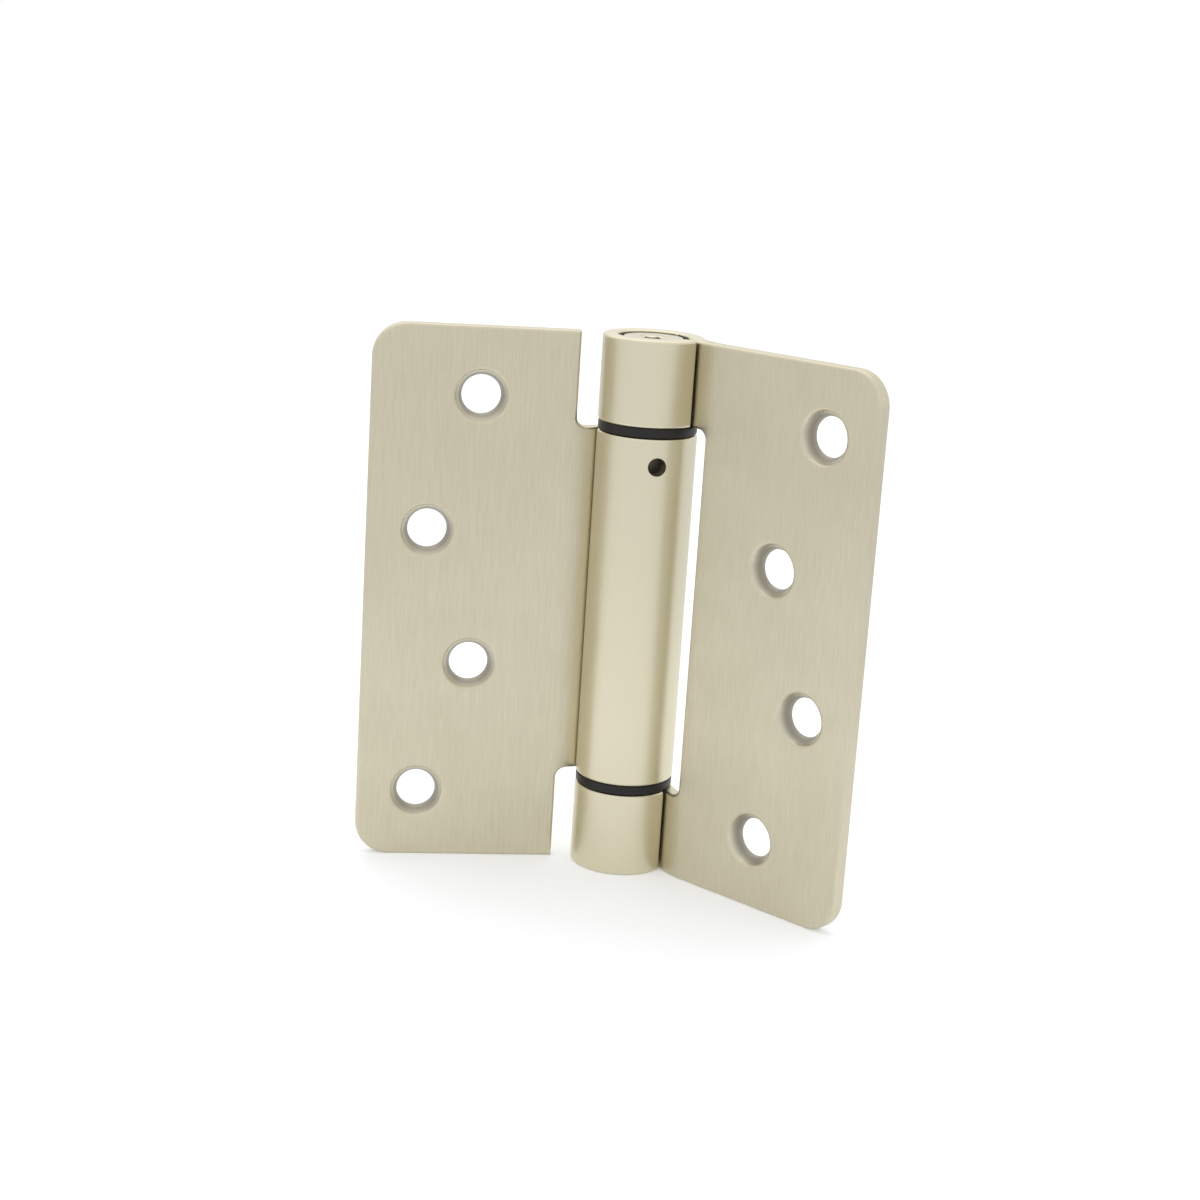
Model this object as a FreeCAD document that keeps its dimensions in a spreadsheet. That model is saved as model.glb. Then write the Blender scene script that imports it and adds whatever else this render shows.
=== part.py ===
import FreeCAD, Part
import itertools
import math
import os

import Sketcher
from FreeCAD import Placement, Rotation, Vector

# Full-mortise spring door hinge with three knuckles on one upright axis.
# The barrel leaf carries the long centre barrel with the closing spring inside, the knuckle leaf
# carries the upper and the lower knuckle. Each leaf is one steel strip, rolled at its inner edge.
# Frame: +Z up along the knuckle axis, origin on that axis at the foot of the lower knuckle.
# The barrel leaf reaches to -X and its countersunk face looks to -Y.

# Driving sizes, in millimetres and degrees.
SIZES = {
    # Leaf plates
    "leaf_height": 101.6,
    "leaf_reach": 50.8,
    "sheet_thickness": 2.8,
    "corner_radius": 6.35,
    "edge_round": 0.55,
    "rest_angle": 130.0,
    # Rolled knuckles: the plate's inner face lies behind the axis by face_offset
    "barrel_radius": 9.25,
    "face_offset": 0.85,
    "swage_radius": 14.0,
    "seam_gap": 0.05,
    "seam_round": 0.7,
    "knuckle_length": 15.875,
    "notch_clearance": 3.75,
    "notch_radius": 1.8,
    # Countersunk screw holes in two staggered columns
    "hole_pitch": 25.4,
    "inner_column": 30.65,
    "outer_column": 39.5,
    "hole_diameter": 7.3,
    "sink_diameter": 9.8,
    "sink_angle": 60.0,
    "sink_round": 0.8,
    # Hole for the tension pin near the top of the barrel
    "pin_hole_diameter": 3.4,
    "pin_hole_drop": 5.1,
    "pin_hole_turn": 5.0,
    # Nylon bushings between the knuckles
    "bearing_gap": 1.85,
    "flange_play": 0.1,
    "flange_inset": 0.1,
    "flange_round": 0.25,
    "sleeve_wall": 0.6,
    "sleeve_fit": 0.03,
    "upper_sleeve_recess": 1.0,
    "lower_sleeve_length": 10.0,
    "journal_play": 0.05,
    # Spring plugs
    "adjuster_recess": 0.4,
    "plug_chamfer": 0.4,
    "plug_fit": 0.02,
    "collar_play": 0.1,
    "collar_drop": 4.5,
    "shoulder_rise": 0.5,
    "nose_length": 4.0,
    "nose_play": 0.3,
    "slot_play": 0.15,
    "socket_flats": 3.97,
    "socket_depth": 6.0,
    "mouth_diameter": 5.4,
    "mouth_angle": 120.0,
    "pin_socket_count": 6,
    "pin_socket_web": 0.3,
    # Torsion spring of square wire
    "wire_size": 2.2,
    "coil_gap": 0.2,
    "coil_play": 0.35,
    "coil_end_play": 0.1,
    "leg_lap": 0.05,
}

# Sizes that follow from the driving ones, as formulas of the same sheet.
DERIVED = {
    "bore_radius": "barrel_radius - sheet_thickness",
    "notch_reach": "barrel_radius + notch_clearance",
    "knuckle_top": "leaf_height - knuckle_length",
    "barrel_foot": "knuckle_length + bearing_gap",
    "barrel_top": "knuckle_top - bearing_gap",
    "flange_radius": "barrel_radius - flange_inset",
    "flange_thickness": "bearing_gap - flange_play",
    "sleeve_radius": "bore_radius - sleeve_fit",
    "sleeve_bore": "sleeve_radius - sleeve_wall",
    "journal_radius": "sleeve_bore - journal_play",
    "collar_radius": "bore_radius - collar_play",
    "plug_radius": "bore_radius - plug_fit",
    "coil_radius": "bore_radius - coil_play",
    "coil_bore": "coil_radius - wire_size",
    "nose_radius": "coil_bore - nose_play",
    "slot_width": "wire_size + 2 * slot_play",
    "mouth_depth": "(mouth_diameter - socket_flats) / (2 * tan(mouth_angle / 2))",
    "pin_height": "barrel_top - pin_hole_drop",
    "pin_socket_floor": "(pin_hole_diameter + pin_socket_web) / (2 * sin(180 / pin_socket_count))",
    "spring_foot": "barrel_foot + lower_sleeve_length + shoulder_rise",
    "spring_top": "pin_height - collar_drop",
    "first_turn": "spring_foot + coil_end_play + wire_size / 2",
    "last_turn": "spring_top - coil_end_play - wire_size / 2",
    "coil_turns": "floor((last_turn - first_turn) / (wire_size + coil_gap))",
}

# How far a cutting outline runs past the metal it removes.
OVERRUN = 2.0
NEAR = 1e-4

doc = FreeCAD.newDocument("SpringHinge")
sheet = doc.addObject("Spreadsheet::Sheet", "Sizes")
cells = {name: str(number) for name, number in SIZES.items()}
cells.update({name: "=" + formula for name, formula in DERIVED.items()})
for row, (name, content) in enumerate(cells.items(), start=1):
    sheet.set(f"A{row}", name)
    sheet.set(f"B{row}", content)
    sheet.setAlias(f"B{row}", name)
doc.recompute()
size = {name: float(sheet.get(name)) for name in cells}


def bind(target, **formulas):
    """Tie properties of a feature to cells of the sheet."""
    for name, formula in formulas.items():
        target.setExpression(name, formula)


def new_body(label):
    body = doc.addObject("PartDesign::Body", label)
    body.Label = label
    return body


def origin_feature(body, role):
    """The body's own origin plane or axis with this role."""
    return next(item for item in body.Origin.OriginFeatures if item.Role == role)


def new_sketch(body, name, role, offset=Placement()):
    """A sketch on one of the body's origin planes, moved by offset in that plane's own directions."""
    sketch = body.newObject("Sketcher::SketchObject", f"{body.Name}_{name}")
    sketch.AttachmentSupport = [(origin_feature(body, role), "")]
    sketch.MapMode = "FlatFace"
    sketch.AttachmentOffset = offset
    return sketch


def new_feature(body, kind, name, profile=None):
    feature = body.newObject(f"PartDesign::{kind}", f"{body.Name}_{name}")
    if profile is not None:
        feature.Profile = profile
    return feature


def add_loop(sketch, curves, smooth=()):
    """Add curves that meet end to end; joints listed in smooth are tangent, the others plain."""
    first = sketch.GeometryCount
    for curve in curves:
        sketch.addGeometry(curve, False)
    for joint in range(len(curves)):
        here = first + joint
        there = first + (joint + 1) % len(curves)

        def apart(ends):
            return sketch.getPoint(here, ends[0]).distanceToPoint(sketch.getPoint(there, ends[1]))

        end, start = min(itertools.product((1, 2), repeat=2), key=apart)
        kind = "Tangent" if joint in smooth else "Coincident"
        sketch.addConstraint(Sketcher.Constraint(kind, here, end, there, start))


def add_polygon(sketch, points):
    corners = [Vector(x, y, 0) for x, y in points]
    add_loop(sketch, [Part.LineSegment(a, b) for a, b in zip(corners, corners[1:] + corners[:1])])


def drive(sketch, formula, kind, *places):
    """Add a sketch dimension whose value is a formula of the sheet."""
    value = float(sheet.evalExpression(formula))
    index = sketch.addConstraint(Sketcher.Constraint(kind, *places, value))
    sketch.setExpression(f"Constraints[{index}]", formula)


def edge_names(shape, test):
    return [f"Edge{number}" for number, edge in enumerate(shape.Edges, start=1) if test(edge)]


def same(first, second):
    return abs(first - second) < NEAR


def revolve(body, points, name="Turned", kind="Revolution"):
    """Turn an outline of (radius, height) points about the knuckle axis, as metal or as a groove."""
    outline = new_sketch(body, f"{name}Outline", "XZ_Plane")
    add_polygon(outline, points)
    turned = new_feature(body, kind, name, outline)
    turned.ReferenceAxis = (outline, ["V_Axis"])
    turned.Angle = 360
    return turned


def section_curves(side):
    """Outline of the rolled strip seen from above, for a leaf that reaches to side times +X.

    The plate swings back in one wide bend, touches the roll tangentially behind the axis and wraps
    round it until the free end nearly meets the plate's inner face again.
    """
    front = size["face_offset"]
    back = front + size["sheet_thickness"]
    inner = size["bore_radius"]
    outer = size["barrel_radius"]
    bend_front = size["swage_radius"] + size["sheet_thickness"] / 2
    bend_back = size["swage_radius"] - size["sheet_thickness"] / 2
    bend_y = front + bend_front
    centres = inner + bend_front
    bend_x = math.sqrt(centres ** 2 - bend_y ** 2)
    join = math.atan2(bend_y, bend_x)
    crossing = math.acos((centres ** 2 + outer ** 2 - bend_front ** 2) / (2 * centres * outer))
    seam = join - crossing - size["seam_gap"] / outer
    full_turn = 2 * math.pi
    wrap_middle = (join + full_turn + seam) / 2
    bend_start = -math.pi / 2
    bend_middle = (bend_start + join - math.pi) / 2

    def at(x, y):
        return Vector(side * x, y, 0)

    def round_axis(radius, angle):
        return at(radius * math.cos(angle), radius * math.sin(angle))

    def round_bend(radius, angle):
        return at(bend_x + radius * math.cos(angle), bend_y + radius * math.sin(angle))

    reach = size["leaf_reach"]
    return [
        Part.LineSegment(at(reach, front), at(bend_x, front)),
        Part.Arc(at(bend_x, front), round_bend(bend_front, bend_middle), round_axis(inner, join)),
        Part.Arc(round_axis(inner, join), round_axis(inner, wrap_middle), round_axis(inner, seam)),
        Part.LineSegment(round_axis(inner, seam), round_axis(outer, seam)),
        Part.Arc(round_axis(outer, seam), round_axis(outer, wrap_middle), round_axis(outer, join)),
        Part.Arc(round_axis(outer, join), round_bend(bend_back, bend_middle), at(bend_x, back)),
        Part.LineSegment(at(bend_x, back), at(reach, back)),
        Part.LineSegment(at(reach, back), at(reach, front)),
    ]


# Places of the curves in that outline: plate face, bend, bore, free end, wrap, back bend, back, edge.
SECTION_ORDER = range(8)
FREE_END = SECTION_ORDER[3]


def draw_section(body, side):
    """The strip's section as a driven sketch."""
    section = new_sketch(body, "Section", "XY_Plane")
    plate_front, bend, bore, end, wrap, _, plate_back, edge = SECTION_ORDER
    add_loop(section, section_curves(side), smooth=(plate_front, bend))
    for arc in (bore, wrap):
        section.addConstraint(Sketcher.Constraint("Coincident", arc, 3, -1, 1))
    section.addConstraint(Sketcher.Constraint("PointOnObject", -1, 1, end))
    for line in (plate_front, plate_back):
        section.addConstraint(Sketcher.Constraint("Horizontal", line))
    section.addConstraint(Sketcher.Constraint("Vertical", edge))
    drive(section, "Sizes.leaf_reach", "Distance", -1, 1, edge)
    drive(section, "Sizes.face_offset", "Distance", -1, 1, plate_front)
    drive(section, "Sizes.face_offset + Sizes.sheet_thickness", "Distance", -1, 1, plate_back)
    drive(section, "Sizes.swage_radius + Sizes.sheet_thickness / 2", "Radius", bend)
    drive(section, "Sizes.bore_radius", "Radius", bore)
    drive(section, "Sizes.barrel_radius", "Radius", wrap)
    return section


def notch_curves(side, low, high, round_low, round_high):
    """Outline of a notch beside the axis between two heights, with its rounded inner corners."""
    edge = side * size["notch_reach"]
    far = -side * (size["barrel_radius"] + OVERRUN)
    radius = size["notch_radius"]
    slant = radius * (1 - math.sqrt(0.5))
    corner = edge - side * radius
    curves = []
    place = Vector(far, low, 0)

    def line_to(x, z):
        nonlocal place
        curves.append(Part.LineSegment(place, Vector(x, z, 0)))
        place = Vector(x, z, 0)

    def arc_to(middle_z, x, z):
        nonlocal place
        curves.append(Part.Arc(place, Vector(edge - side * slant, middle_z, 0), Vector(x, z, 0)))
        place = Vector(x, z, 0)

    if round_low:
        line_to(corner, low)
        arc_to(low + slant, edge, low + radius)
    else:
        line_to(edge, low)
    if round_high:
        line_to(edge, high - radius)
        arc_to(high - slant, corner, high)
    else:
        line_to(edge, high)
    line_to(far, high)
    line_to(far, low)
    return curves


def plate_edges(shape, side):
    """Names of the sheared edges of a strip, apart from those across its thickness and at its seam."""
    reach = side * size["leaf_reach"]
    notch = side * size["notch_reach"]

    def sheared(edge):
        box = edge.BoundBox
        upright = box.ZLength > NEAR
        if upright:
            along_z = box.XLength < NEAR
            return not along_z or same(box.XMin, reach) or same(box.XMin, notch)
        across = isinstance(edge.Curve, Part.Line) and not same(box.YLength, 0)
        return not across

    return edge_names(shape, sheared)


def drill_screw_holes(body, side, columns):
    """Four countersunk holes, the columns named from the top hole down."""
    face = Placement(Vector(0, 0, -size["face_offset"]), Rotation())
    holes = new_sketch(body, "ScrewHoles", "XZ_Plane", face)
    bind(holes, **{"AttachmentOffset.Base.z": "-Sizes.face_offset"})
    for row, column in enumerate(columns):
        pitches = (len(columns) - 1) / 2 - row
        height = size["leaf_height"] / 2 + pitches * size["hole_pitch"]
        centre = Vector(side * size[column], height, 0)
        index = holes.addGeometry(Part.Circle(centre, Vector(0, 0, 1), size["hole_diameter"] / 2), False)
        drive(holes, "Sizes.hole_diameter", "Diameter", index)
        drive(holes, f"{side} * Sizes.{column}", "DistanceX", -1, 1, index, 3)
        drive(holes, f"Sizes.leaf_height / 2 + {pitches} * Sizes.hole_pitch", "DistanceY", -1, 1, index, 3)
    doc.recompute()
    drilled = new_feature(body, "Hole", "Countersunk", holes)
    drilled.ThreadType = "None"
    drilled.DepthType = "ThroughAll"
    drilled.HoleCutType = "Countersink"
    drilled.HoleCutCustomValues = True
    bind(
        drilled,
        Diameter="Sizes.hole_diameter",
        HoleCutDiameter="Sizes.sink_diameter",
        HoleCutCountersinkAngle="Sizes.sink_angle",
    )
    doc.recompute()

    def sink_rim(edge):
        return isinstance(edge.Curve, Part.Circle) and same(edge.Curve.Radius, size["sink_diameter"] / 2)

    eased = new_feature(body, "Fillet", "SinkRims")
    eased.Base = (drilled, edge_names(drilled.Shape, sink_rim))
    bind(eased, Radius="Sizes.sink_round")
    doc.recompute()


def make_leaf(label, side, notches, columns):
    """Roll, blank, round and drill one leaf that reaches to side times +X."""
    body = new_body(label)
    strip = new_feature(body, "Pad", "Strip", draw_section(body, side))
    bind(strip, Length="Sizes.leaf_height")

    blank = new_sketch(body, "Notches", "XZ_Plane")
    for notch in notches:
        add_loop(blank, notch_curves(side, *notch))
    blanked = new_feature(body, "Pocket", "Blanked", blank)
    blanked.Type = "ThroughAll"
    blanked.SideType = "Symmetric"
    doc.recompute()

    def outer_corner(edge):
        box = edge.BoundBox
        return same(box.XMin, side * size["leaf_reach"]) and same(box.XLength + box.ZLength, 0)

    corners = new_feature(body, "Fillet", "Corners")
    corners.Base = (blanked, edge_names(blanked.Shape, outer_corner))
    bind(corners, Radius="Sizes.corner_radius")
    doc.recompute()

    tip = section_curves(side)[FREE_END].EndPoint

    def free_edge(edge):
        box = edge.BoundBox
        return same(box.XLength + box.YLength, 0) and same(box.XMin, tip.x) and same(box.YMin, tip.y)

    rolled = new_feature(body, "Fillet", "FreeEnd")
    rolled.Base = (corners, edge_names(corners.Shape, free_edge))
    bind(rolled, Radius="Sizes.seam_round")
    doc.recompute()

    broken = new_feature(body, "Fillet", "Edges")
    broken.Base = (rolled, plate_edges(rolled.Shape, side))
    bind(broken, Radius="Sizes.edge_round")
    doc.recompute()

    drill_screw_holes(body, side, columns)
    return body


def radial_plane(distance):
    """Offset of an upright plane at this distance from the axis, square to the tension pin."""
    turn = math.radians(size["pin_hole_turn"])
    base = Vector(distance * math.sin(turn), 0, distance * math.cos(turn))
    return Placement(base, Rotation(Vector(0, 1, 0), size["pin_hole_turn"]))


def drill_for_pin(body, name, start_radius, depth_formula):
    """A round hole for the tension pin, drilled outwards from start_radius."""
    circle = new_sketch(body, f"{name}Circle", "XZ_Plane", radial_plane(start_radius))
    centre = Vector(0, size["pin_height"], 0)
    circle.addGeometry(Part.Circle(centre, Vector(0, 0, 1), size["pin_hole_diameter"] / 2), False)
    drive(circle, "Sizes.pin_hole_diameter", "Diameter", 0)
    drive(circle, "Sizes.pin_height", "DistanceY", -1, 1, 0, 3)
    circle.addConstraint(Sketcher.Constraint("PointOnObject", 0, 3, -2))
    hole = new_feature(body, "Pocket", name, circle)
    hole.Reversed = True
    bind(hole, Length=depth_formula)
    doc.recompute()
    return hole


def make_barrel_leaf():
    foot = (-OVERRUN, size["barrel_foot"], False, True)
    head = (size["barrel_top"], size["leaf_height"] + OVERRUN, True, False)
    columns = ("inner_column", "outer_column", "inner_column", "outer_column")
    body = make_leaf("barrel_leaf", -1, (foot, head), columns)
    drill_for_pin(body, "PinHole", 0, f"Sizes.barrel_radius + {OVERRUN}")
    return body


def make_knuckle_leaf():
    middle = (size["knuckle_length"], size["knuckle_top"], True, True)
    columns = ("outer_column", "inner_column", "outer_column", "inner_column")
    body = make_leaf("knuckle_leaf", 1, (middle,), columns)
    body.Placement = Placement(Vector(), Rotation(Vector(0, 0, 1), size["rest_angle"] - 180))
    return body


def make_bushing(label, flange_seat, sleeve_end, away):
    """A flanged bearing: the flange hangs from flange_seat, the sleeve runs to sleeve_end.

    away is -1 where the flange lies below its seat.
    """
    body = new_body(label)
    outer = size["flange_radius"]
    bore = size["sleeve_bore"]
    relief = size["flange_round"]
    far = flange_seat + away * size["flange_thickness"]
    turned = revolve(body, [
        (bore, far),
        (outer - relief, far),
        (outer, far - away * relief),
        (outer, flange_seat + away * relief),
        (outer - relief, flange_seat),
        (size["sleeve_radius"], flange_seat),
        (size["sleeve_radius"], sleeve_end),
        (bore, sleeve_end),
    ])
    body.Tip = turned
    return body


def cut_nose_slot(body, shoulder, tip):
    """The slot across a plug's nose that takes the spring's end leg."""
    half = size["slot_width"] / 2
    outline = new_sketch(body, "SlotOutline", "YZ_Plane")
    add_polygon(outline, [(-half, shoulder), (half, shoulder), (half, tip), (-half, tip)])
    slot = new_feature(body, "Pocket", "Slot", outline)
    slot.Type = "ThroughAll"
    slot.SideType = "Symmetric"
    doc.recompute()
    return slot


def make_anchor_plug():
    """The plug pressed into the lower knuckle; it carries the barrel and holds the spring's foot."""
    body = new_body("anchor_plug")
    chamfer = size["plug_chamfer"]
    shoulder = size["spring_foot"]
    tip = shoulder + size["nose_length"]
    revolve(body, [
        (0, 0),
        (size["plug_radius"] - chamfer, 0),
        (size["plug_radius"], chamfer),
        (size["plug_radius"], size["knuckle_length"]),
        (size["journal_radius"], size["knuckle_length"]),
        (size["journal_radius"], shoulder),
        (size["nose_radius"], shoulder),
        (size["nose_radius"], tip - chamfer),
        (size["nose_radius"] - chamfer, tip),
        (0, tip),
    ])
    cut_nose_slot(body, shoulder, tip + OVERRUN)
    return body


def make_adjuster():
    """The plug that winds the spring: hexagon socket above, collar with pin sockets in the barrel."""
    body = new_body("adjuster")
    chamfer = size["plug_chamfer"]
    crown = size["leaf_height"] - size["adjuster_recess"]
    shoulder = size["spring_top"]
    tip = shoulder - size["nose_length"]
    revolve(body, [
        (0, crown),
        (size["journal_radius"] - chamfer, crown),
        (size["journal_radius"], crown - chamfer),
        (size["journal_radius"], size["barrel_top"]),
        (size["collar_radius"], size["barrel_top"]),
        (size["collar_radius"], shoulder),
        (size["nose_radius"], shoulder),
        (size["nose_radius"], tip + chamfer),
        (size["nose_radius"] - chamfer, tip),
        (0, tip),
    ])
    cut_nose_slot(body, shoulder, tip - OVERRUN)

    hexagon = new_sketch(body, "Hexagon", "XY_Plane", Placement(Vector(0, 0, crown), Rotation()))
    bind(hexagon, **{"AttachmentOffset.Base.z": "Sizes.leaf_height - Sizes.adjuster_recess"})
    corner_reach = size["socket_flats"] / math.sqrt(3)
    angles = [math.radians(60 * corner) for corner in range(6)]
    add_polygon(hexagon, [(corner_reach * math.cos(a), corner_reach * math.sin(a)) for a in angles])
    socket = new_feature(body, "Pocket", "Socket", hexagon)
    bind(socket, Length="Sizes.socket_depth")
    mouth_floor = crown - size["mouth_depth"]
    revolve(body, [
        (0, crown),
        (size["mouth_diameter"] / 2, crown),
        (size["socket_flats"] / 2, mouth_floor),
        (0, mouth_floor),
    ], "Mouth", "Groove")
    doc.recompute()

    depth = f"Sizes.collar_radius - Sizes.pin_socket_floor + {OVERRUN}"
    pin_socket = drill_for_pin(body, "PinSocket", size["pin_socket_floor"], depth)
    ring = new_feature(body, "PolarPattern", "PinSockets")
    ring.Originals = [pin_socket]
    ring.Axis = (origin_feature(body, "Z_Axis"), [""])
    ring.Angle = 360
    bind(ring, Occurrences="Sizes.pin_socket_count")
    body.Tip = ring
    return body


def make_torsion_spring():
    """A left-hand coil of square wire whose end legs cross the axis inside the plugs' slots."""
    body = new_body("torsion_spring")
    half = size["wire_size"] / 2
    start = size["first_turn"]
    wire = new_sketch(body, "Wire", "XZ_Plane")
    add_polygon(wire, [
        (size["coil_bore"], start - half),
        (size["coil_radius"], start - half),
        (size["coil_radius"], start + half),
        (size["coil_bore"], start + half),
    ])
    coil = new_feature(body, "AdditiveHelix", "Coil", wire)
    coil.ReferenceAxis = (wire, ["V_Axis"])
    coil.Mode = "height-turns-angle"
    coil.LeftHanded = True
    bind(coil, Height="Sizes.last_turn - Sizes.first_turn", Turns="Sizes.coil_turns")
    doc.recompute()

    lap = size["leg_lap"]
    for name, height in (("FootLeg", start), ("TopLeg", size["last_turn"])):
        outline = new_sketch(body, f"{name}Outline", "XZ_Plane")
        add_polygon(outline, [
            (-size["nose_radius"], height - half - lap),
            (size["coil_radius"] - lap, height - half - lap),
            (size["coil_radius"] - lap, height + half + lap),
            (-size["nose_radius"], height + half + lap),
        ])
        leg = new_feature(body, "Pad", name, outline)
        leg.SideType = "Symmetric"
        bind(leg, Length="Sizes.wire_size")
        doc.recompute()
    return body


def build_hinge():
    upper_sleeve_end = size["leaf_height"] - size["upper_sleeve_recess"]
    lower_sleeve_end = size["barrel_foot"] + size["lower_sleeve_length"]
    return [
        make_barrel_leaf(),
        make_knuckle_leaf(),
        make_bushing("upper_bushing", size["knuckle_top"], upper_sleeve_end, -1),
        make_bushing("lower_bushing", size["barrel_foot"], lower_sleeve_end, -1),
        make_adjuster(),
        make_anchor_plug(),
        make_torsion_spring(),
    ]


def check(pieces):
    """Stop before anything is written if a feature failed or a piece isn't one sound solid."""
    failed = [item.Name for item in doc.Objects if {"Invalid", "Error"} & set(item.State)]
    if failed:
        raise RuntimeError(f"failed features: {failed}")
    for piece in pieces:
        shape = piece.Shape
        if shape.isNull() or not shape.isValid() or len(shape.Solids) != 1:
            raise RuntimeError(f"{piece.Label} is not one valid solid")


pieces = build_hinge()
doc.recompute()
check(pieces)
os.makedirs("parts", exist_ok=True)
for piece in pieces:
    piece.Shape.exportStep(f"parts/{piece.Label}.step")
    print(piece.Label, round(piece.Shape.Volume, 1), "mm3")
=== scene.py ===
import logging
import math
from collections.abc import Mapping
from dataclasses import dataclass
from enum import Enum

import bmesh
import bpy
from mathutils import Matrix, Vector


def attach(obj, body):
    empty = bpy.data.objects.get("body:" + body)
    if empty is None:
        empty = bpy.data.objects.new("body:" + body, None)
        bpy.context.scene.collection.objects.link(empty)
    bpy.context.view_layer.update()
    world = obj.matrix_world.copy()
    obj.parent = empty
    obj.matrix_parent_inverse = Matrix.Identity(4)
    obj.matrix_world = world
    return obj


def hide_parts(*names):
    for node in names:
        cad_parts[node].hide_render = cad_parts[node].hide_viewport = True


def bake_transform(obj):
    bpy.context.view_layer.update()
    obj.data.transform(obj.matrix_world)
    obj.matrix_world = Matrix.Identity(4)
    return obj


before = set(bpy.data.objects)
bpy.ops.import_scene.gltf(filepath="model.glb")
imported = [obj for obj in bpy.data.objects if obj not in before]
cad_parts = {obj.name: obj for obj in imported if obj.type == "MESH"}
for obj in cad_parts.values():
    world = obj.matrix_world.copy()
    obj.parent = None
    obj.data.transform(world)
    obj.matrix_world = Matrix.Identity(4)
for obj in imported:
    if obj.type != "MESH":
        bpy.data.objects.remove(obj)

# A three-knuckle spring door hinge in satin nickel, standing open on a pale sheet.
# The solids of the frame are welded into smooth surfaces here, finished and lit.
# Sizes in the classes are millimetres and degrees; Blender's own units are metres.

Colour = tuple[float, float, float, float]

LOG = logging.getLogger("spring_hinge")
MM = 0.001
WHITE: Colour = (1.0, 1.0, 1.0, 1.0)
# Span that holds most values of a noise texture.
NOISE_LOW, NOISE_HIGH = 0.3, 0.7
# Radians of a wave texture in one unit of its scale.
WAVE_RADIANS = 20


class Slot(Enum):
    """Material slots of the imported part."""

    LEAF = "leaf_steel"
    PLUG = "plug_steel"
    BEARING = "bearing_nylon"
    SPRING = "spring_steel"


class HoleColumn(Enum):
    """Distance of a column of screw holes from the knuckle axis, in millimetres."""

    INNER = 30.65
    OUTER = 39.5


class Region(Enum):
    """Parts of a piece's surface that were finished differently."""

    OUTSIDE = "outside"
    HOLE = "hole"
    BORE = "bore"
    SHANK = "shank"


def linear(colour: str) -> Colour:
    """Turn an sRGB hex colour into the linear values of a shader socket.

    Args:
        colour: Six hex digits after a hash sign.

    Returns:
        Linear red, green and blue with an alpha of one.
    """
    channels = [int(colour[place:place + 2], 16) / 255 for place in (1, 3, 5)]
    red, green, blue = (
        value / 12.92 if value <= 0.04045 else ((value + 0.055) / 1.055) ** 2.4 for value in channels
    )
    return red, green, blue, 1.0


def add_node(
    tree: bpy.types.NodeTree,
    kind: str,
    inputs: Mapping[str | int, object] | None = None,
    **settings: object,
) -> bpy.types.Node:
    """Add a node, set its properties, and fill or link its input sockets.

    Args:
        tree: Node tree of a material or of the world.
        kind: Blender's identifier of the node type.
        inputs: Values by socket name or number; an output socket is linked, anything else is set.
        **settings: Properties of the node itself.

    Returns:
        The new node.
    """
    node = tree.nodes.new(kind)
    for name, value in settings.items():
        setattr(node, name, value)
    for place, value in (inputs or {}).items():
        if isinstance(value, bpy.types.NodeSocket):
            tree.links.new(value, node.inputs[place])
        else:
            node.inputs[place].default_value = value
    return node


def per_size(*sizes: float) -> tuple[float, ...]:
    """Scale factors that make one unit of a pattern as long as each size in millimetres."""
    return tuple(1 / (size * MM) for size in sizes)


def add_place(tree: bpy.types.NodeTree) -> bpy.types.NodeSocket:
    """Add the output that gives the point on the piece, in metres."""
    return add_node(tree, "ShaderNodeTexCoord").outputs["Object"]


def add_noise(
    tree: bpy.types.NodeTree, place: bpy.types.NodeSocket, size: float, detail: float
) -> bpy.types.NodeSocket:
    """Add noise whose grains have one size.

    Args:
        tree: The material's node tree.
        place: Output that gives the point on the piece.
        size: Size of a grain, in millimetres.
        detail: Number of finer layers in it.

    Returns:
        Output that runs from 0 to 1.
    """
    inputs = {"Vector": place, "Scale": per_size(size)[0], "Detail": detail}
    return add_node(tree, "ShaderNodeTexNoise", inputs).outputs[0]


def add_relief(
    tree: bpy.types.NodeTree, height: bpy.types.NodeSocket, depth: float
) -> bpy.types.NodeSocket:
    """Add a relief that follows a pattern.

    Args:
        tree: The material's node tree.
        height: Output that runs from 0 in the relief's floor to 1 on its ridges.
        depth: Depth of the relief, in millimetres.

    Returns:
        Output that gives the surface's normals.
    """
    inputs = {"Height": height, "Strength": 1.0, "Distance": depth * MM}
    return add_node(tree, "ShaderNodeBump", inputs).outputs[0]


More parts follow.
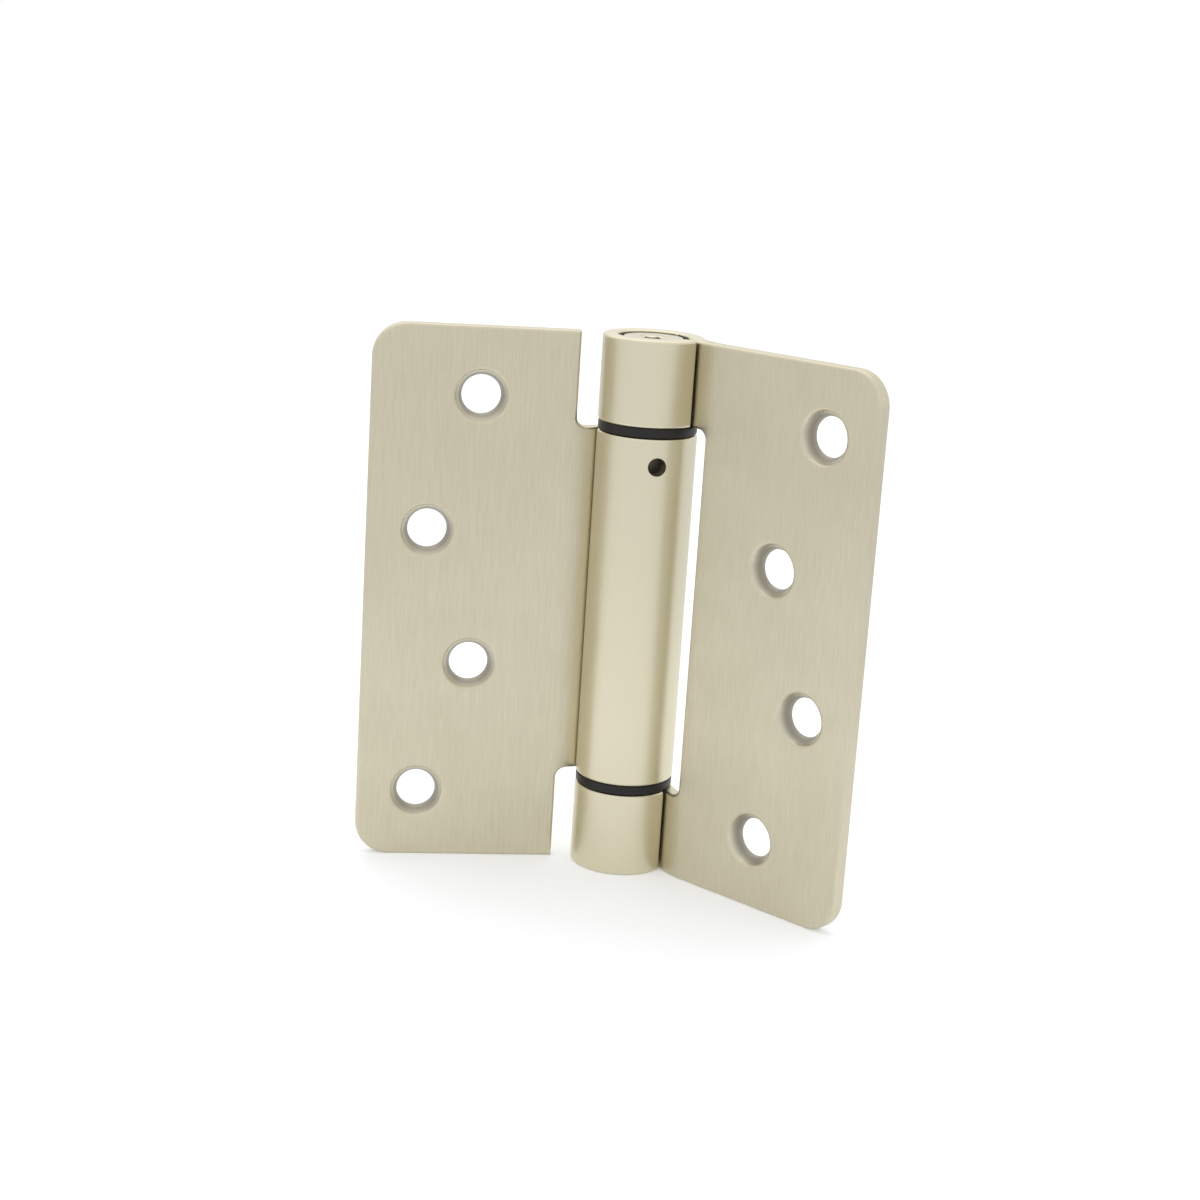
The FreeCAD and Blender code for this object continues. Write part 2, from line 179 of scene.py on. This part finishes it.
@dataclass(frozen=True)
class Finish:
    """Surface of one real material; subclasses add the pattern that its making left.

    Attributes:
        name: Common name of the material and how its surface was made.
        light: Colour of the pattern's light parts, as sRGB hex.
        dark: Colour of the pattern's dark parts, as sRGB hex.
        roughness: Lowest and highest roughness across the pattern.
    """

    name: str
    light: str
    dark: str
    roughness: tuple[float, float]

    def material(self) -> bpy.types.Material:
        """Make the finish as a node material.

        Returns:
            The new material.
        """
        made = bpy.data.materials.new(self.name)
        made.use_nodes = True
        made.node_tree.nodes.clear()
        shader = self.shade(made.node_tree)
        add_node(made.node_tree, "ShaderNodeOutputMaterial", {"Surface": shader.outputs[0]})
        return made

    def shade(self, tree: bpy.types.NodeTree) -> bpy.types.Node:
        """Build the finish's nodes and return the shader at their end."""
        raise NotImplementedError

    def tones(self, tree: bpy.types.NodeTree, pattern: bpy.types.NodeSocket) -> dict[str, object]:
        """Spread a pattern over the finish's two colours and its span of roughness.

        Args:
            tree: The material's node tree.
            pattern: Output that runs from 0 in the dark parts to 1 in the light ones.

        Returns:
            Base colour and roughness inputs for the shader.
        """
        colour = add_node(
            tree,
            "ShaderNodeMix",
            {"Factor": pattern, 6: linear(self.dark), 7: linear(self.light)},
            data_type="RGBA",
        )
        smooth, rough = self.roughness
        spread = add_node(
            tree, "ShaderNodeMapRange", {"Value": pattern, "To Min": rough, "To Max": smooth}
        )
        return {"Base Color": colour.outputs[2], "Roughness": spread.outputs["Result"]}


@dataclass(frozen=True)
class BrushedNickel(Finish):
    """Nickel plate over a strip brushed along the knuckle axis, burnished where it was rolled, with
    painted light on the roll.

    The belt leaves fine broken lines along the axis, which spread reflections sideways into a soft
    sheen. The rolling die presses the lines flat round the knuckles, which are smoother; their paler
    tone is painted light.

    Attributes:
        line_width: Width of a brush line; real ones are near 0.05 mm, drawn wider so that they show.
        line_length: Usual length of a brush line.
        cloud_size: Width of the plate's faint clouds.
        cloud_share: How much of the tone comes from the clouds, the rest from the lines.
        line_depth: Depth of a brush line.
        spread: How far the lines stretch reflections sideways, from 0 to 1.
        roll_painted_light_tone: Paler colour painted on the roll as light, as sRGB hex.
        roll_roughness: Roughness of the burnished roll.
        roll_radius: Distance from the axis up to which the metal is fully burnished and painted paler.
        roll_fade: Width over which the burnish and the painted light run out into the plate.
        burnish_and_painted_light: How far the burnish and the painted light replace the brushed look on
            the roll, from 0 to 1.
    """

    line_width: float = 0.25
    line_length: float = 5.0
    cloud_size: float = 14.0
    cloud_share: float = 0.3
    line_depth: float = 0.003
    spread: float = 0.4
    roll_painted_light_tone: str = "#DFD8BE"
    roll_roughness: float = 0.33
    roll_radius: float = 9.3
    roll_fade: float = 2.5
    burnish_and_painted_light: float = 0.8

    def shade(self, tree: bpy.types.NodeTree) -> bpy.types.Node:
        """Lay brush lines and clouds over a plated metal, press them flat round the axis and paint
        light on the roll.

        Args:
            tree: The material's node tree.

        Returns:
            The metal shader.
        """
        place = add_place(tree)
        along = add_node(
            tree,
            "ShaderNodeMapping",
            {"Vector": place, "Scale": per_size(self.line_width, self.line_width, self.line_length)},
        )
        lines = add_node(
            tree,
            "ShaderNodeTexNoise",
            {"Vector": along.outputs[0], "Scale": 1.0, "Detail": 3.0, "Roughness": 0.6},
        )
        clouds = add_noise(tree, place, self.cloud_size, 2.0)
        tone = add_node(
            tree, "ShaderNodeMix", {"Factor": self.cloud_share, 2: lines.outputs[0], 3: clouds}
        )
        # Noise keeps to the middle of its range, so the tone is stretched to reach both colours.
        stretched = add_node(
            tree,
            "ShaderNodeMapRange",
            {"Value": tone.outputs[0], "From Min": NOISE_LOW, "From Max": NOISE_HIGH},
        )
        plate = self.tones(tree, stretched.outputs["Result"])
        level = add_node(
            tree, "ShaderNodeVectorMath", {0: place, 1: (1.0, 1.0, 0.0)}, operation="MULTIPLY"
        )
        from_axis = add_node(tree, "ShaderNodeVectorMath", {0: level.outputs[0]}, operation="LENGTH")
        burnish_and_painted_light = add_node(
            tree,
            "ShaderNodeMapRange",
            {
                "Value": from_axis.outputs["Value"],
                "From Min": (self.roll_radius + self.roll_fade) * MM,
                "From Max": self.roll_radius * MM,
                "To Max": self.burnish_and_painted_light,
            },
        )
        # Painted light: the roll near the axis takes a paler tone, as though more light fell on it; its
        # lower roughness is the burnish.
        colour = add_node(
            tree,
            "ShaderNodeMix",
            {"Factor": burnish_and_painted_light.outputs["Result"], 6: plate["Base Color"], 7: linear(self.roll_painted_light_tone)},
            data_type="RGBA",
        )
        roughness = add_node(
            tree,
            "ShaderNodeMix",
            {"Factor": burnish_and_painted_light.outputs["Result"], 2: plate["Roughness"], 3: self.roll_roughness},
        )
        # The lines run up the axis; the slight lean keeps the direction off the normal of flat ends.
        # A quarter turn of the anisotropy then stretches reflections across the lines.
        axis = add_node(tree, "ShaderNodeCombineXYZ", {"X": 0.03, "Y": 0.02, "Z": 1.0})
        return add_node(
            tree,
            "ShaderNodeBsdfPrincipled",
            {
                "Base Color": colour.outputs[2],
                "Roughness": roughness.outputs[0],
                "Metallic": 1.0,
                "Anisotropic": self.spread,
                "Anisotropic Rotation": 0.25,
                "Tangent": axis.outputs[0],
                "Normal": add_relief(tree, lines.outputs[0], self.line_depth),
            },
        )


@dataclass(frozen=True)
class TurnedNickel(Finish):
    """Nickel plate over steel that was turned in a lathe.

    The tool leaves fine rings round its axis, so a disc shows faint circles and a soft cross of light.

    Attributes:
        ring_pitch: Distance between tool rings; drawn wider than the real 0.1 mm so that they show.
        ring_depth: Depth of a tool ring.
        fleck_size: Size of the small differences between rings.
        fleck_share: How much of the tone comes from the flecks, the rest from the rings.
    """

    ring_pitch: float = 0.3
    ring_depth: float = 0.003
    fleck_size: float = 0.7
    fleck_share: float = 0.5

    def shade(self, tree: bpy.types.NodeTree) -> bpy.types.Node:
        """Lay tool rings round the upright axis over a plated metal.

        Args:
            tree: The material's node tree.

        Returns:
            The metal shader.
        """
        place = add_place(tree)
        rings = add_node(
            tree,
            "ShaderNodeTexWave",
            {
                "Vector": place,
                "Scale": math.tau / WAVE_RADIANS * per_size(self.ring_pitch)[0],
                "Distortion": 0.6,
                "Detail": 2.0,
            },
            wave_type="RINGS",
            rings_direction="Z",
        )
        flecks = add_noise(tree, place, self.fleck_size, 3.0)
        tone = add_node(
            tree, "ShaderNodeMix", {"Factor": self.fleck_share, 2: rings.outputs["Fac"], 3: flecks}
        ).outputs[0]
        grooves = add_relief(tree, tone, self.ring_depth)
        return add_node(
            tree,
            "ShaderNodeBsdfPrincipled",
            {**self.tones(tree, tone), "Metallic": 1.0, "Normal": grooves},
        )


@dataclass(frozen=True)
class SunkHole(Finish):
    """Nickel plate in a punched and countersunk screw hole, with painted shade that darkens with depth.

    The shade is painted into the colour: pale at the rim, dull grey down the punched wall.

    Attributes:
        back_turn: Direction from the plate's face to its back, in degrees from +X.
        face_offset: Distance of the plate's face from the knuckle axis.
        unshaded_depth: Depth down to which no shade is painted and the metal is as pale as on the face.
        full_shade_depth: Depth from which the painted shade is at its darkest.
        fleck_size: Size of the small marks that the tool left.
        fleck_depth: Depth of those marks.
        fleck_share: How much of the tone comes from those marks, the rest from the painted shade.
    """

    back_turn: float = 90.0
    face_offset: float = 0.85
    unshaded_depth: float = 0.3
    full_shade_depth: float = 1.6
    fleck_size: float = 0.5
    fleck_depth: float = 0.004
    fleck_share: float = 0.15

    def shade(self, tree: bpy.types.NodeTree) -> bpy.types.Node:
        """Paint shade on a plated metal, darker with its depth below the plate's face.

        Args:
            tree: The material's node tree.

        Returns:
            The metal shader.
        """
        place = add_place(tree)
        turn = math.radians(self.back_turn)
        behind_axis = add_node(
            tree,
            "ShaderNodeVectorMath",
            {0: place, 1: (math.cos(turn), math.sin(turn), 0.0)},
            operation="DOT_PRODUCT",
        )
        # Painted shade: the colour darkens with depth into the hole, where shade falls.
        plating = add_node(
            tree,
            "ShaderNodeMapRange",
            {
                "Value": behind_axis.outputs["Value"],
                "From Min": (self.face_offset + self.full_shade_depth) * MM,
                "From Max": (self.face_offset + self.unshaded_depth) * MM,
            },
            interpolation_type="SMOOTHSTEP",
        )
        flecks = add_noise(tree, place, self.fleck_size, 3.0)
        tone = add_node(
            tree, "ShaderNodeMix", {"Factor": self.fleck_share, 2: plating.outputs["Result"], 3: flecks}
        ).outputs[0]
        marks = add_relief(tree, flecks, self.fleck_depth)
        return add_node(
            tree,
            "ShaderNodeBsdfPrincipled",
            {**self.tones(tree, tone), "Metallic": 1.0, "Normal": marks},
        )


@dataclass(frozen=True)
class GrainedSurface(Finish):
    """Moulded nylon, drawn wire or bare steel: an even grain of one size.

    Attributes:
        grain_size: Size of the grain; drawn coarser than a mould's or a die's so that it shows.
        grain_depth: Height of the grain.
        metallic: One for a bare metal, nought for a plastic.
        ior: Index of refraction of a plastic; a metal keeps the usual value.
        gloss: Strength of a plastic's shine, half being the usual one.
    """

    grain_size: float = 0.5
    grain_depth: float = 0.01
    metallic: float = 0.0
    ior: float = 1.5
    gloss: float = 0.5

    def shade(self, tree: bpy.types.NodeTree) -> bpy.types.Node:
        """Lay a fine grain over a plastic or a bare metal.

        Args:
            tree: The material's node tree.

        Returns:
            The surface shader.
        """
        grain = add_noise(tree, add_place(tree), self.grain_size, 4.0)
        return add_node(
            tree,
            "ShaderNodeBsdfPrincipled",
            {
                **self.tones(tree, grain),
                "Metallic": self.metallic,
                "IOR": self.ior,
                "Specular IOR Level": self.gloss,
                "Normal": add_relief(tree, grain, self.grain_depth),
            },
        )


@dataclass(frozen=True)
class GlowingPaper(Finish):
    """Matt paper of one even tone, lit by the room and the lamp, with a painted glow of its own.

    The glow lifts it to white where it is seen, without more light on the things that stand on
    it. Metal reflects the glow only near the hinge, a painted pool of light, so upright metal darkens
    towards its top.

    Attributes:
        glow: Painted light that the paper adds where it is seen, and that metal reflects near the
            hinge.
        glow_whole: Distance from the knuckle axis up to which metal reflects the whole painted glow.
        glow_none: Distance from which metal reflects none of the painted glow.
    """

    glow: float = 0.22
    glow_whole: float = 60.0
    glow_none: float = 300.0

    def shade(self, tree: bpy.types.NodeTree) -> bpy.types.Node:
        """Make a paper without shine and add its painted glow.

        Args:
            tree: The material's node tree.

        Returns:
            The paper shader.
        """
        from_axis = add_node(tree, "ShaderNodeVectorMath", {0: add_place(tree)}, operation="LENGTH")
        # Painted pool of light: metal reflects the paper's glow near the hinge, fading out farther off.
        near = add_node(
            tree,
            "ShaderNodeMapRange",
            {
                "Value": from_axis.outputs["Value"],
                "From Min": self.glow_none * MM,
                "From Max": self.glow_whole * MM,
                "To Max": self.glow,
            },
            interpolation_type="SMOOTHSTEP",
        )
        path = add_node(tree, "ShaderNodeLightPath")
        mirrored = add_node(
            tree,
            "ShaderNodeMath",
            {0: path.outputs["Is Glossy Ray"], 1: near.outputs["Result"]},
            operation="MULTIPLY",
        )
        glow = add_node(
            tree,
            "ShaderNodeMix",
            {"Factor": path.outputs["Is Camera Ray"], 2: mirrored.outputs[0], 3: self.glow},
        )
        return add_node(
            tree,
            "ShaderNodeBsdfPrincipled",
            {
                "Base Color": linear(self.light),
                "Roughness": self.roughness[0],
                "Specular IOR Level": 0.0,
                "Emission Color": WHITE,
                "Emission Strength": glow.outputs[0],
            },
        )


# Satin nickel on brushed steel strip: a warm grey with fine upright lines and a broad soft sheen.
BRUSHED_LEAF = BrushedNickel("satin_nickel_brushed", "#D5CEB7", "#CBC3AC", (0.36, 0.46))
# Satin nickel on punched steel in the screw holes, with painted shade: pale at the rim, dull grey
# below.
BARREL_LEAF_HOLE = SunkHole("satin_nickel_punched_painted_shade_barrel_leaf", "#D2CCBA", "#A09B8E", (0.36, 0.5))
KNUCKLE_LEAF_HOLE = SunkHole(
    "satin_nickel_punched_painted_shade_knuckle_leaf", "#D2CCBA", "#A09B8E", (0.36, 0.5), back_turn=40.0
)
# Steel inside the roll, where the plating hardly reaches: dark and dull.
BARE_WALL = GrainedSurface(
    "rolled_steel_bare", "#8A8477", "#6E695E", (0.45, 0.6), grain_size=0.4, metallic=1.0
)
# Satin nickel on turned steel plugs: pale rings on the end that shows.
PLUG = TurnedNickel("satin_nickel_turned", "#D8D2BE", "#CAC3AC", (0.24, 0.34))
# Turned steel, bare and oiled, where a plug runs inside the knuckles: dark grey with a soft gleam.
PLUG_SHANK = GrainedSurface(
    "turned_steel_oiled", "#706B61", "#4C4842", (0.26, 0.36), grain_size=0.3, metallic=1.0
)
# Moulded black nylon: nearly black, with a dull shine on its rounded rim.
NYLON = GrainedSurface("black_nylon_moulded", "#211E1F", "#191718", (0.38, 0.48), ior=1.53, gloss=0.3)
# Oiled spring wire: dark grey steel with a soft gleam.
SPRING_WIRE = GrainedSurface(
    "spring_steel_drawn", "#6A6660", "#4C4945", (0.3, 0.42), grain_size=0.6, metallic=1.0
)
# Uncoated white paper: a matt floor that runs into the white room without a line, with a painted glow
# that metal reflects near the hinge.
PAPER = GlowingPaper("white_paper_painted_glow", "#EDEFF2", "#EDEFF2", (0.9, 0.9))


@dataclass
class Piece:
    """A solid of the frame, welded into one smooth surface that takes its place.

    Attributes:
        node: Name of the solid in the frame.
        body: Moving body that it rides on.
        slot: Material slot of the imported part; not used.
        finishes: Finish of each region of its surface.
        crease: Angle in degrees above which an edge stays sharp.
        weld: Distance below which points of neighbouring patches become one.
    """

    node: str
    body: str
    slot: Slot
    finishes: Mapping[Region, Finish]
    crease: float = 32.0
    weld: float = 0.002

    def build(self) -> bpy.types.Object:
        """Weld the solid's patches together, smooth them and put the result in the solid's place.

        Returns:
            The new surface.
        """
        shell = bmesh.new()
        shell.from_mesh(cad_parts[self.node].data)
        bmesh.ops.remove_doubles(shell, verts=shell.verts, dist=self.weld * MM)
        sharp = math.radians(self.crease)
        regions = list(self.finishes)
        for face in shell.faces:
            face.smooth = True
            face.material_index = regions.index(self.region(face))
        for edge in shell.edges:
            edge.smooth = edge.is_manifold and edge.calc_face_angle() < sharp
        mesh = bpy.data.meshes.new(f"{self.node}_surface")
        shell.to_mesh(mesh)
        shell.free()
        surface = bpy.data.objects.new(f"{self.node}_surface", mesh)
        bpy.context.scene.collection.objects.link(surface)
        weighted = surface.modifiers.new("flats stay flat", "WEIGHTED_NORMAL")
        weighted.keep_sharp = True
        self.carry(surface)
        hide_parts(self.node)
        return surface

    def carry(self, surface: bpy.types.Object) -> None:
        """Put the surface on the body that it moves with."""
        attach(surface, self.body)

    def region(self, face: bmesh.types.BMFace) -> Region:
        """Say which finish a face takes; a plain piece has only one."""
        return Region.OUTSIDE

    def dress(self, surface: bpy.types.Object) -> None:
        """Give the surface its finishes."""
        for finish in self.finishes.values():
            surface.data.materials.append(finish.material())


@dataclass
class Leaf(Piece):
    """A steel strip: a plate with countersunk holes, rolled into knuckles at its inner edge.

    Attributes:
        columns: Columns of the screw holes from the top hole down.
        plate_turn: Direction in which the plate reaches from the axis, in degrees from +X.
        height: Height of the leaf.
        hole_pitch: Upright distance between holes.
        sink_radius: Radius of a countersink at the plate's face, without its rounded rim.
        bore_reach: Radius that holds the wall of the roll's bore.
        flat: Least share of a face's normal across the plate for it to be part of the plate's flats.
        upright: Most share of a face's normal along the axis for it to be part of a wall.
    """

    columns: tuple[HoleColumn, ...] = ()
    plate_turn: float = 0.0
    height: float = 101.6
    hole_pitch: float = 25.4
    sink_radius: float = 4.75
    bore_reach: float = 6.5
    flat: float = 0.95
    upright: float = 0.5

    def hole_places(self) -> list[Vector]:
        """Work out where the axes of the screw holes are.

        Returns:
            Their places along the plate and up, in millimetres, from the top hole down.
        """
        middle = (len(self.columns) - 1) / 2
        return [
            Vector((column.value, self.height / 2 + (middle - row) * self.hole_pitch))
            for row, column in enumerate(self.columns)
        ]

    def region(self, face: bmesh.types.BMFace) -> Region:
        """Tell the screw holes and the roll's bore from the brushed outside.

        Args:
            face: A face of the welded solid.

        Returns:
            The region that the face belongs to.
        """
        centre = face.calc_center_median() / MM
        turned = Matrix.Rotation(-math.radians(self.plate_turn), 3, "Z")
        along = turned @ centre
        facing = abs((turned @ face.normal).y)
        on_plate = Vector((along.x, along.z))
        in_hole = min((on_plate - place).length for place in self.hole_places()) < self.sink_radius
        if in_hole and facing < self.flat:
            return Region.HOLE
        if centre.xy.length < self.bore_reach and abs(face.normal.z) < self.upright:
            return Region.BORE
        return Region.OUTSIDE


@dataclass
class Plug(Piece):
    """A turned plug, plated on the end that shows and in the socket there.

    Attributes:
        end_height: Height of the end that shows.
        plated_depth: How far the plating reaches in from that end.
        socket_radius: Radius that holds the key's socket, nought for a plain end.
        socket_depth: Depth of the socket.
    """

    end_height: float = 0.0
    plated_depth: float = 0.5
    socket_radius: float = 0.0
    socket_depth: float = 0.0

    def region(self, face: bmesh.types.BMFace) -> Region:
        """Tell the plated end and its socket from the shank.

        Args:
            face: A face of the welded solid.

        Returns:
            The region that the face belongs to.
        """
        centre = face.calc_center_median() / MM
        depth = abs(centre.z - self.end_height)
        in_socket = centre.xy.length < self.socket_radius and depth < self.socket_depth
        return Region.OUTSIDE if in_socket or depth < self.plated_depth else Region.SHANK


@dataclass
class Spring(Piece):
    """The coil between the plugs, which twists when the upper one is wound.

    Attributes:
        winder: Body that turns the coil's upper leg; the lower one stays with the coil's own body. Not
            used.
        leg_height: Height of an end leg, which lies in a plug's slot and stays straight. Not used.
    """

    winder: str = "adjuster"
    leg_height: float = 2.3

    def carry(self, surface: bpy.types.Object) -> None:
        """Bake the coil's place into its points, so that it rides on no moving body.

        Args:
            surface: The coil's surface.
        """
        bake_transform(surface)


@dataclass(frozen=True)
class Hinge:
    """The whole hinge.

    Attributes:
        pieces: Its pieces, the leaves first.
    """

    pieces: tuple[Piece, ...]

    def build(self) -> None:
        """Build, dress and report every piece."""
        for piece in self.pieces:
            surface = piece.build()
            piece.dress(surface)
            LOG.info("%s: %d faces", surface.name, len(surface.data.polygons))


ROLLED_STRIP = {Region.OUTSIDE: BRUSHED_LEAF, Region.BORE: BARE_WALL}
TURNED_BAR = {Region.OUTSIDE: PLUG, Region.SHANK: PLUG_SHANK}
MOULDING = {Region.OUTSIDE: NYLON}
WIRE = {Region.OUTSIDE: SPRING_WIRE}

SPRING_HINGE = Hinge(
    (
        Leaf(
            "barrel_leaf",
            "barrel_leaf",
            Slot.LEAF,
            {**ROLLED_STRIP, Region.HOLE: BARREL_LEAF_HOLE},
            columns=(HoleColumn.INNER, HoleColumn.OUTER) * 2,
            plate_turn=180.0,
        ),
        Leaf(
            "knuckle_leaf",
            "knuckle_leaf",
            Slot.LEAF,
            {**ROLLED_STRIP, Region.HOLE: KNUCKLE_LEAF_HOLE},
            columns=(HoleColumn.OUTER, HoleColumn.INNER) * 2,
            plate_turn=-50.0,
        ),
        Piece("upper_bushing", "knuckle_leaf", Slot.BEARING, MOULDING),
        Piece("lower_bushing", "barrel_leaf", Slot.BEARING, MOULDING),
        Plug(
            "adjuster",
            "adjuster",
            Slot.PLUG,
            TURNED_BAR,
            end_height=101.2,
            socket_radius=2.8,
            socket_depth=6.1,
        ),
        Plug("anchor_plug", "knuckle_leaf", Slot.PLUG, TURNED_BAR),
        Spring("torsion_spring", "knuckle_leaf", Slot.SPRING, WIRE),
    )
)


@dataclass(frozen=True)
class Lamp:
    """A soft square lamp that looks at the middle of the hinge.

    Attributes:
        name: What the lamp does.
        place: Where it stands, in millimetres.
        width: Width of its square face, in millimetres.
        power: Radiant power in watts.
    """

    name: str
    place: tuple[float, float, float]
    width: float
    power: float


@dataclass(frozen=True)
class Studio:
    """A flat sheet of white paper in a white room, with one soft lamp.

    Attributes:
        paper_reach: How far the paper runs to each side.
        daylight: Strength of the even light that falls from all round.
        lamp: The lamp.
        aim: Middle of the hinge, which the lamp faces.
    """

    paper_reach: float = 6000.0
    daylight: float = 1.0
    lamp: Lamp = Lamp("key", (-60.0, 200.0, 550.0), 700.0, 0.65)
    aim: tuple[float, float, float] = (0.0, 0.0, 50.0)

    def build(self) -> None:
        """Lay the paper and set the lights."""
        self.lay_paper()
        self.light_room()
        self.hang_lamp()

    def lay_paper(self) -> None:
        """Make the sheet that the hinge stands on."""
        reach = self.paper_reach * MM
        mesh = bpy.data.meshes.new("paper_sheet")
        mesh.from_pydata(
            [(-reach, -reach, 0.0), (reach, -reach, 0.0), (reach, reach, 0.0), (-reach, reach, 0.0)],
            [],
            [(0, 1, 2, 3)],
        )
        paper = bpy.data.objects.new("paper_sheet", mesh)
        bpy.context.scene.collection.objects.link(paper)
        mesh.materials.append(PAPER.material())

    def light_room(self) -> None:
        """Fill the room with even white light."""
        world = bpy.data.worlds.new("studio_room")
        world.use_nodes = True
        tree = world.node_tree
        tree.nodes.clear()
        room = add_node(tree, "ShaderNodeBackground", {"Color": WHITE, "Strength": self.daylight})
        add_node(tree, "ShaderNodeOutputWorld", {"Surface": room.outputs[0]})
        bpy.context.scene.world = world

    def hang_lamp(self) -> None:
        """Hang the lamp so that it faces the middle of the hinge."""
        data = bpy.data.lights.new(self.lamp.name, "AREA")
        data.size = self.lamp.width * MM
        data.energy = self.lamp.power
        hung = bpy.data.objects.new(self.lamp.name, data)
        hung.location = Vector(self.lamp.place) * MM
        sight = Vector(self.aim) * MM - hung.location
        hung.rotation_euler = sight.to_track_quat("-Z", "Y").to_euler()
        bpy.context.scene.collection.objects.link(hung)


@dataclass(frozen=True)
class Viewpoint:
    """The photographer's camera, a little above the hinge and to the left of square on.

    Attributes:
        place: Camera centre, in millimetres.
        pitch: Angle below the level that it looks, in degrees.
        heading: Angle to the right of +Y that it looks, in degrees.
        roll: Turn about its own line of sight, in degrees.
        lens: Focal length.
        sensor: Width of the sensor.
        nearest: Distance from which things are seen.
    """

    place: tuple[float, float, float] = (-62.0, -386.4, 150.1)
    pitch: float = 14.187
    heading: float = 8.14
    roll: float = 3.7
    lens: float = 64.44
    sensor: float = 36.0
    nearest: float = 10.0

    def build(self) -> None:
        """Set up the camera and make it the scene's own."""
        data = bpy.data.cameras.new("viewpoint")
        data.sensor_width = self.sensor
        data.lens = self.lens
        data.clip_start = self.nearest * MM
        camera = bpy.data.objects.new("viewpoint", data)
        turn = (
            Matrix.Rotation(-math.radians(self.heading), 4, "Z")
            @ Matrix.Rotation(math.radians(90 - self.pitch), 4, "X")
            @ Matrix.Rotation(math.radians(self.roll), 4, "Z")
        )
        camera.matrix_world = Matrix.Translation(Vector(self.place) * MM) @ turn
        bpy.context.scene.collection.objects.link(camera)
        bpy.context.scene.camera = camera


def main() -> None:
    """Build the hinge and its studio."""
    logging.basicConfig(level=logging.INFO, format="%(message)s")
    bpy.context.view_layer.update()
    bpy.context.scene.view_settings.view_transform = "Standard"
    SPRING_HINGE.build()
    Studio().build()
    Viewpoint().build()


if __name__ == "__main__":
    main()
